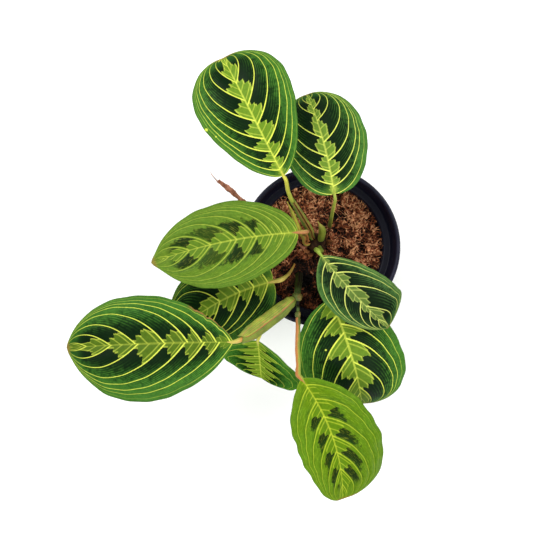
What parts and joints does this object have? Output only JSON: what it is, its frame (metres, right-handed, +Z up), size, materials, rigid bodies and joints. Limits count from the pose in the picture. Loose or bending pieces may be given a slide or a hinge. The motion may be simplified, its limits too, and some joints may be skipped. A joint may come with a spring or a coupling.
{
  "type": "potted prayer plant",
  "caption": "Prayer plant with patterned oval leaves on thin stalks, growing from fibrous soil in a round plastic nursery pot.",
  "frame": {"origin": "centre of the pot's flat underside, on the floor", "axes": "+Z up; -Z out of the underside; the largest leaf points to -X"},
  "size_m": [0.2485, 0.3212, 0.1707],
  "materials": {
    "pot_plastic": "moulded, satin",
    "coir_soil": "loose coir fibre and bark crumbs",
    "leaf_dark": "satin leaf with pale veins and near-black patches",
    "leaf_lime": "satin leaf with pale veins and dark blotches",
    "stalk_yellow": "smooth, fleshy",
    "stalk_green": "smooth, fleshy",
    "stalk_tan": "fleshy, ribbed, browning",
    "stem_green": "ribbed",
    "sheath_green": "ribbed, with a papery brown edge",
    "sheath_tan": "papery, ribbed",
    "crown_brown": "knobbly, fibrous",
    "dry_twig": "dry and fibrous"
  },
  "bodies": {
    "root": {"nursery_pot": "pot_plastic", "potting_soil": "coir_soil", "leaf_back_left": "leaf_dark", "leaf_back_right": "leaf_dark", "leaf_left_upper": "leaf_lime", "leaf_left_lower": "leaf_dark", "leaf_far_left": "leaf_dark", "leaf_hanging": "leaf_dark", "leaf_right_small": "leaf_dark", "leaf_right_lower": "leaf_dark", "leaf_front": "leaf_lime", "stalk_back_left": "stalk_yellow", "stalk_back_right": "stalk_green", "stalk_left_upper": "stalk_yellow", "stalk_left_lower": "stalk_tan", "stalk_far_left": "stalk_tan", "stalk_hanging": "stalk_yellow", "stalk_right_small": "stalk_green", "stalk_right_lower": "stalk_green", "stalk_front": "stalk_tan", "shoot_stem": "stem_green", "front_stem": "stem_green", "dry_twig": "dry_twig", "leaf_spear": "sheath_green", "bract": "sheath_green", "sheath_back_left": "sheath_green", "sheath_left_upper": "sheath_tan", "shoot_sheath": "sheath_green", "crown": "crown_brown", "shoot_node": "sheath_tan", "front_node": "stalk_green"}
  },
  "joints": []
}
